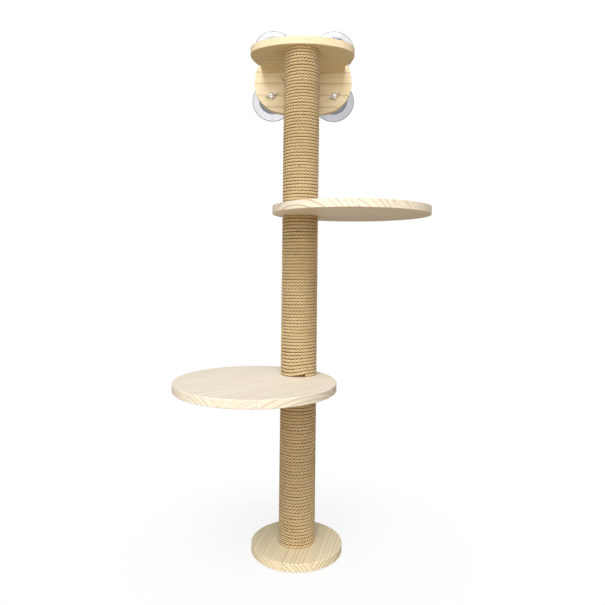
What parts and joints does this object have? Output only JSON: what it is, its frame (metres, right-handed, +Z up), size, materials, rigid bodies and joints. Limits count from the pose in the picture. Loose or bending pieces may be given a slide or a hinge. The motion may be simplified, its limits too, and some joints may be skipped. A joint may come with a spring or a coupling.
{
  "type": "cat climbing post",
  "caption": "Rope-wound cat post on a round foot, with offset round shelves and a top platform on a back board held to a window by suction cups.",
  "frame": {"origin": "on the floor under the post's axis, at the underside of the foot pad", "axes": "+Z up along the post, +Y from the post towards the back board and the window, +X to the right as seen from the room"},
  "size_m": [0.476, 0.3704, 1.0825],
  "materials": {
    "pine": "sanded, clear matt lacquer, edge-glued staves",
    "jute_rope": "natural three-strand jute",
    "paper_tube": "wound kraft paper",
    "beech": "turned hardwood, unfinished",
    "clear_pvc": "clear soft PVC",
    "eva_foam": "fine-pored foam",
    "nickel_plate": "bright nickel plate",
    "zinc_insert": "zinc alloy",
    "zinc_steel": "zinc plate"
  },
  "bodies": {
    "frame": {"back_board": "pine", "cup_stud_lower_left": "zinc_steel", "cup_stud_lower_right": "zinc_steel", "cup_stud_upper_left": "zinc_steel", "cup_stud_upper_right": "zinc_steel", "foot_bolt": "zinc_steel", "foot_disc": "pine", "foot_pad": "eva_foam", "foot_washer": "zinc_steel", "lower_bottom_plug": "beech", "lower_core_tube": "paper_tube", "lower_joining_stud": "zinc_steel", "lower_rope": "jute_rope", "lower_top_plug": "beech", "middle_bottom_plug": "beech", "middle_core_tube": "paper_tube", "middle_rope": "jute_rope", "middle_top_plug": "beech", "platform_bolt": "zinc_steel", "platform_dowels": "beech", "platform_screws": "zinc_steel", "suction_cup_lower_left": "clear_pvc", "suction_cup_lower_right": "clear_pvc", "suction_cup_upper_left": "clear_pvc", "suction_cup_upper_right": "clear_pvc", "threaded_inserts": "zinc_insert", "top_platform": "pine", "upper_bottom_plug": "beech", "upper_core_tube": "paper_tube", "upper_joining_stud": "zinc_steel", "upper_rope": "jute_rope", "upper_top_plug": "beech"},
    "lower_shelf": {"lower_shelf": "pine"},
    "upper_shelf": {"upper_shelf": "pine"},
    "washer_lower_left": {"washer_lower_left": "nickel_plate"},
    "wing_nut_lower_left": {"wing_nut_lower_left": "nickel_plate"},
    "washer_lower_right": {"washer_lower_right": "nickel_plate"},
    "wing_nut_lower_right": {"wing_nut_lower_right": "nickel_plate"},
    "washer_upper_left": {"washer_upper_left": "nickel_plate"},
    "wing_nut_upper_left": {"wing_nut_upper_left": "nickel_plate"},
    "washer_upper_right": {"washer_upper_right": "nickel_plate"},
    "wing_nut_upper_right": {"wing_nut_upper_right": "nickel_plate"}
  },
  "joints": [
    {"name": "lower_shelf_swivel", "type": "hinge", "parent": "frame", "child": "lower_shelf", "pos_m": [0, 0, 0.327], "axis": [0, 0, 1], "continuous": true},
    {"name": "upper_shelf_swivel", "type": "hinge", "parent": "frame", "child": "upper_shelf", "pos_m": [0, 0, 0.652], "axis": [0, 0, 1], "continuous": true},
    {"name": "nut_travel_lower_left", "type": "slide", "parent": "frame", "child": "washer_lower_left", "axis": [0, -1, 0], "range_m": [0, 0.005]},
    {"name": "nut_turn_lower_left", "type": "hinge", "parent": "washer_lower_left", "child": "wing_nut_lower_left", "pos_m": [-0.068, 0.1175, 0.9245], "axis": [0, -1, 0], "range_deg": [0, 1800]},
    {"name": "nut_travel_lower_right", "type": "slide", "parent": "frame", "child": "washer_lower_right", "axis": [0, -1, 0], "range_m": [0, 0.005]},
    {"name": "nut_turn_lower_right", "type": "hinge", "parent": "washer_lower_right", "child": "wing_nut_lower_right", "pos_m": [0.068, 0.1175, 0.9245], "axis": [0, -1, 0], "range_deg": [0, 1800]},
    {"name": "nut_travel_upper_left", "type": "slide", "parent": "frame", "child": "washer_upper_left", "axis": [0, -1, 0], "range_m": [0, 0.005]},
    {"name": "nut_turn_upper_left", "type": "hinge", "parent": "washer_upper_left", "child": "wing_nut_upper_left", "pos_m": [-0.068, 0.1175, 1.0365], "axis": [0, -1, 0], "range_deg": [0, 1800]},
    {"name": "nut_travel_upper_right", "type": "slide", "parent": "frame", "child": "washer_upper_right", "axis": [0, -1, 0], "range_m": [0, 0.005]},
    {"name": "nut_turn_upper_right", "type": "hinge", "parent": "washer_upper_right", "child": "wing_nut_upper_right", "pos_m": [0.068, 0.1175, 1.0365], "axis": [0, -1, 0], "range_deg": [0, 1800]}
  ],
  "couplings": [
    {"joint": "nut_travel_lower_left", "follows": "nut_turn_lower_left", "m_per_rad": 0.00015915},
    {"joint": "nut_travel_lower_right", "follows": "nut_turn_lower_right", "m_per_rad": 0.00015915},
    {"joint": "nut_travel_upper_left", "follows": "nut_turn_upper_left", "m_per_rad": 0.00015915},
    {"joint": "nut_travel_upper_right", "follows": "nut_turn_upper_right", "m_per_rad": 0.00015915}
  ]
}
